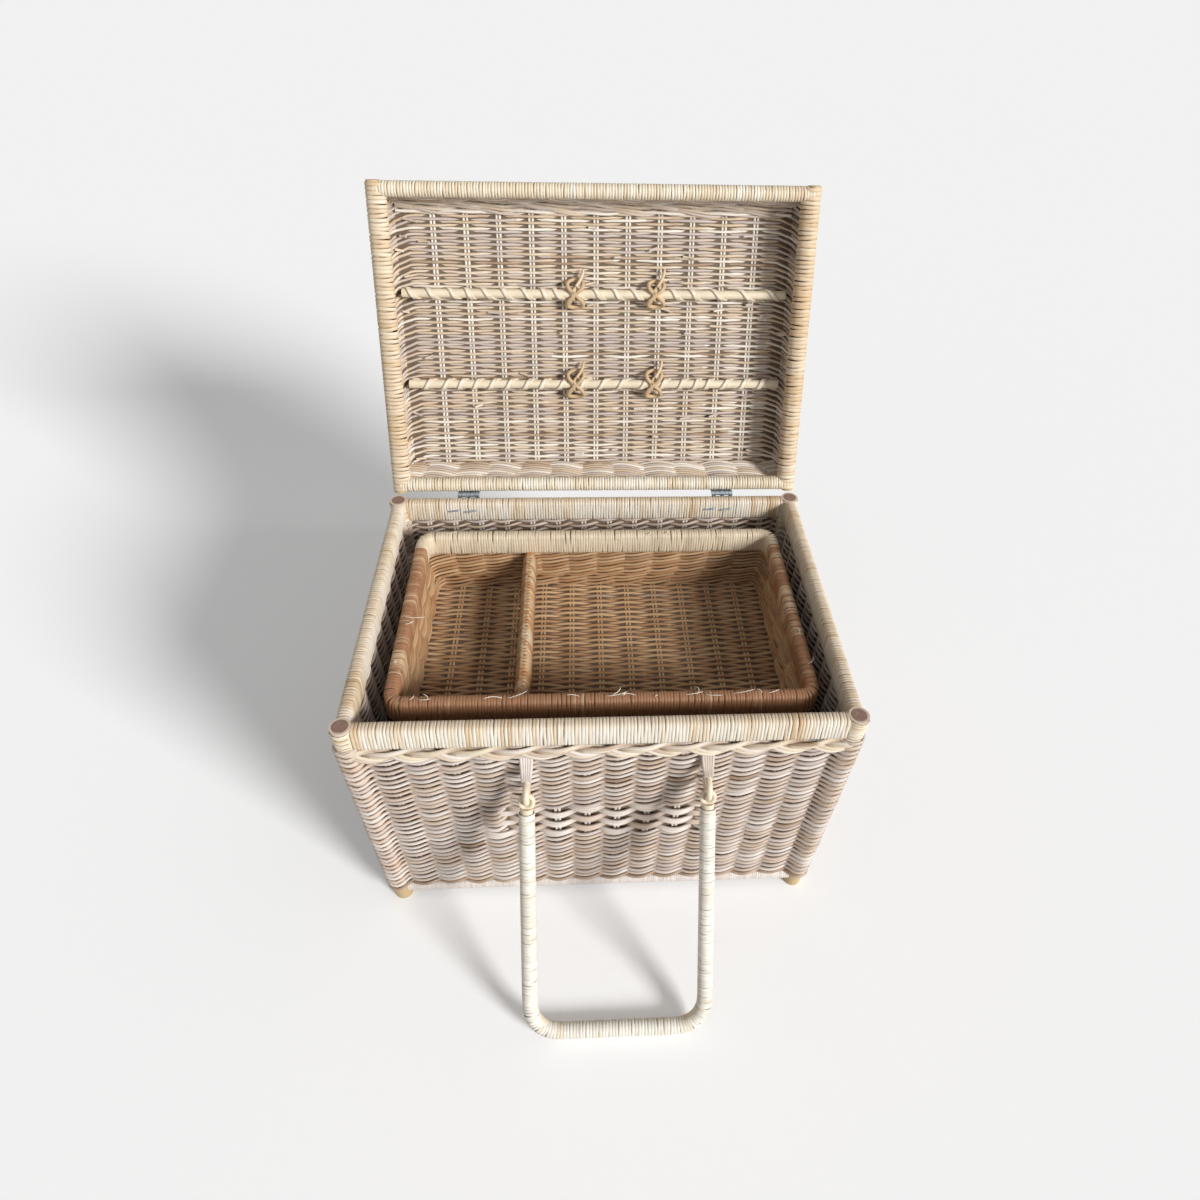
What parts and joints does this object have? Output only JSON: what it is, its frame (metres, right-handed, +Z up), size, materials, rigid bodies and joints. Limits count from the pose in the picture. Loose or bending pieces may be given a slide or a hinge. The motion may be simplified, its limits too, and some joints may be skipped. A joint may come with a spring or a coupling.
{
  "type": "picnic basket",
  "caption": "Rectangular woven picnic hamper with a hinged lid standing open, a lift-out divided tray and a swinging carrying handle on the front and on the back.",
  "frame": {"origin": "on the floor under the middle of the basket", "axes": "+X to the right seen from the front, +Y to the back where the lid is hinged, +Z up"},
  "size_m": [0.4818, 0.6114, 0.6342],
  "materials": {
    "rattan_pole": "satin natural rattan pole",
    "cane_binding": "satin wound cane strip",
    "willow_weave": "weathered woven rod",
    "steel": "dull zinc plate"
  },
  "bodies": {
    "basket": {"post_front_left": "rattan_pole", "post_front_right": "rattan_pole", "post_back_left": "rattan_pole", "post_back_right": "rattan_pole", "rim_rail_front": "rattan_pole", "rim_rail_back": "rattan_pole", "rim_rail_left": "rattan_pole", "rim_rail_right": "rattan_pole", "rim_binding_front": "cane_binding", "rim_binding_back": "cane_binding", "rim_binding_left": "cane_binding", "rim_binding_right": "cane_binding", "wall_front": "willow_weave", "wall_back": "willow_weave", "wall_left": "willow_weave", "wall_right": "willow_weave", "bottom_panel": "willow_weave", "foot_rail_front": "cane_binding", "foot_rail_back": "cane_binding", "foot_rail_left": "cane_binding", "foot_rail_right": "cane_binding", "border_rope": "willow_weave", "tray_bearer_left": "rattan_pole", "tray_bearer_right": "rattan_pole", "handle_ears": "cane_binding", "hinge_leaves_box": "steel", "hinge_pins": "steel", "staples_box": "steel"},
    "lid": {"lid_pole_left": "rattan_pole", "lid_pole_right": "rattan_pole", "lid_pole_back": "rattan_pole", "lid_pole_front": "rattan_pole", "lid_binding_left": "cane_binding", "lid_binding_right": "cane_binding", "lid_binding_back": "cane_binding", "lid_binding_front": "cane_binding", "lid_wall_front": "willow_weave", "lid_wall_back": "willow_weave", "lid_wall_left": "willow_weave", "lid_wall_right": "willow_weave", "lid_panel": "willow_weave", "lid_rod_lower": "rattan_pole", "lid_rod_upper": "rattan_pole", "lid_ties": "cane_binding", "hinge_leaves_lid": "steel", "staples_lid": "steel"},
    "tray": {"tray_hoop": "rattan_pole", "tray_binding": "cane_binding", "tray_wall_front": "willow_weave", "tray_wall_back": "willow_weave", "tray_wall_left": "willow_weave", "tray_wall_right": "willow_weave", "tray_base": "willow_weave", "tray_divider": "willow_weave", "tray_divider_edge": "willow_weave"},
    "handle_front": {"handle_front": "rattan_pole", "handle_front_binding": "cane_binding"},
    "handle_back": {"handle_back": "rattan_pole", "handle_back_binding": "cane_binding"}
  },
  "joints": [
    {"name": "lid_hinge", "type": "hinge", "parent": "basket", "child": "lid", "pos_m": [0, 0.1736, 0.296], "axis": [1, 0, 0], "range_deg": [0, 103.4]},
    {"name": "tray_lift", "type": "slide", "parent": "basket", "child": "tray", "axis": [0, 0, 1], "range_m": [0, 0.04]},
    {"name": "handle_front_swing", "type": "hinge", "parent": "basket", "child": "handle_front", "pos_m": [0, -0.184, 0.222], "axis": [-1, 0, 0], "range_deg": [0, 152]},
    {"name": "handle_back_swing", "type": "hinge", "parent": "basket", "child": "handle_back", "pos_m": [0, 0.184, 0.222], "axis": [1, 0, 0], "range_deg": [0, 110]}
  ]
}
